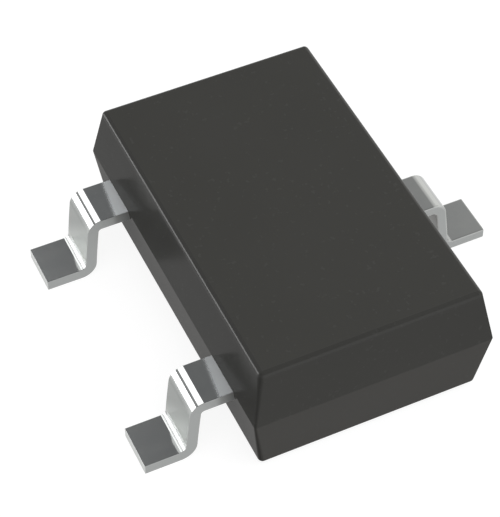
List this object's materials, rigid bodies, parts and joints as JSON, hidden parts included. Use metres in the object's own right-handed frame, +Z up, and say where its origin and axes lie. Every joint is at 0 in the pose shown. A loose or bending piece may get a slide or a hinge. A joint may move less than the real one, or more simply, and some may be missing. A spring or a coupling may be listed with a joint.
{
  "type": "surface-mount transistor",
  "caption": "Small surface-mount transistor: a drafted black moulded body with flat gull-wing leads that are soldered to a circuit board.",
  "frame": {"origin": "middle of the footprint, on the plane of the three soles that rest on the board", "axes": "+Z up from the board, +X along the body, +Y across it towards the single lead"},
  "size_m": [0.003, 0.0032, 0.001],
  "materials": {
    "compound": "satin black moulding compound",
    "tinned_lead": "bright tin plate on copper alloy",
    "silicon": "polished silicon",
    "attach": "dull solder",
    "gold_wire": "drawn gold wire"
  },
  "bodies": {
    "root": {"moulded_body": "compound", "base_lead": "tinned_lead", "emitter_lead": "tinned_lead", "collector_lead": "tinned_lead", "silicon_die": "silicon", "die_attach": "attach", "base_bond_wire": "gold_wire", "emitter_bond_wire": "gold_wire"}
  },
  "joints": []
}
